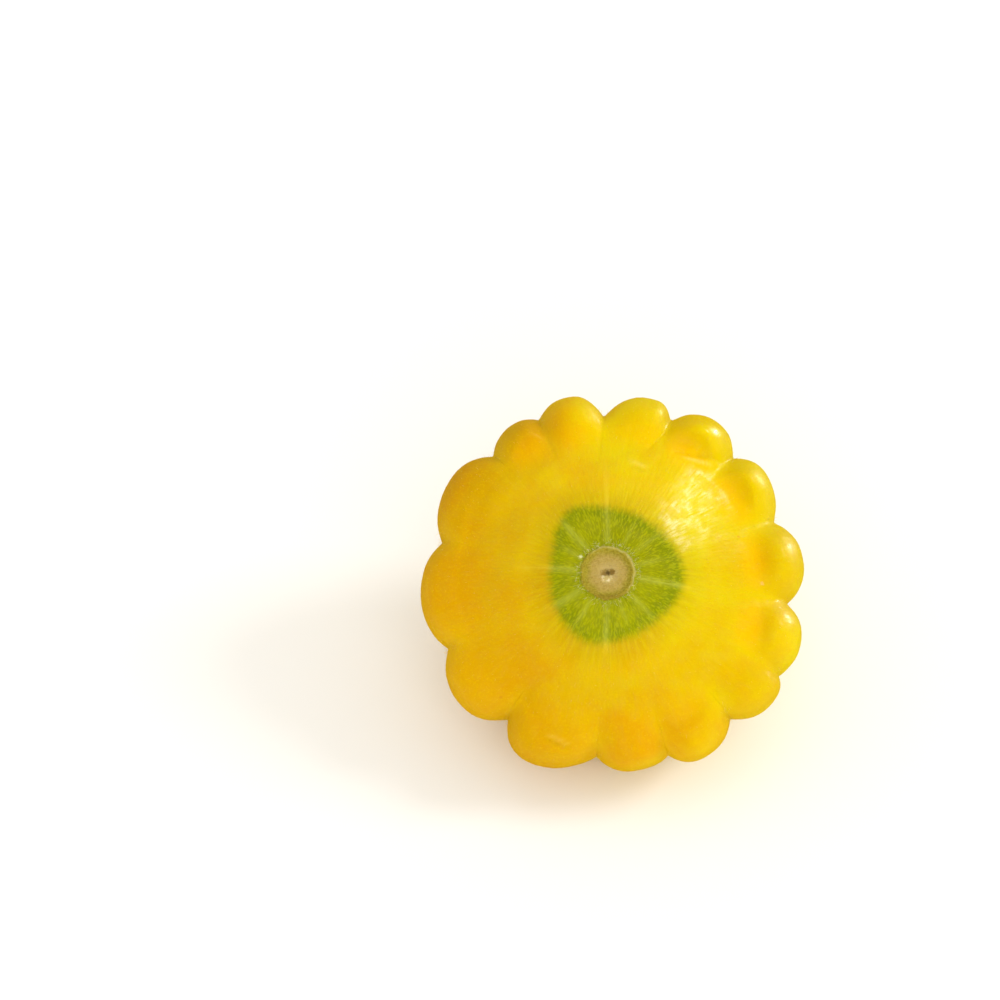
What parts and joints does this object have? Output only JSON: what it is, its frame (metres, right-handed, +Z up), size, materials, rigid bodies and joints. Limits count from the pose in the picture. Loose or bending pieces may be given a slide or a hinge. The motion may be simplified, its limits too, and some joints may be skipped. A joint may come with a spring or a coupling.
{
  "type": "pattypan squash",
  "caption": "Yellow pattypan squash: a flattened scalloped fruit with a green patch at the blossom end, resting tipped on its cut stem.",
  "frame": {"origin": "centre of the bounding box's footprint, on the floor the squash rests on", "axes": "+Z up from the floor, -Y toward the side the blossom end leans to, +X to the right as seen from that side"},
  "size_m": [0.0874, 0.0772, 0.0626],
  "materials": {
    "skin": "smooth waxy skin, semi-gloss, yellow with a green patch at the blossom end",
    "stem": "ridged green stem tissue, dull felted cut face"
  },
  "bodies": {
    "root": {"fruit": "skin", "stem": "stem"}
  },
  "joints": []
}
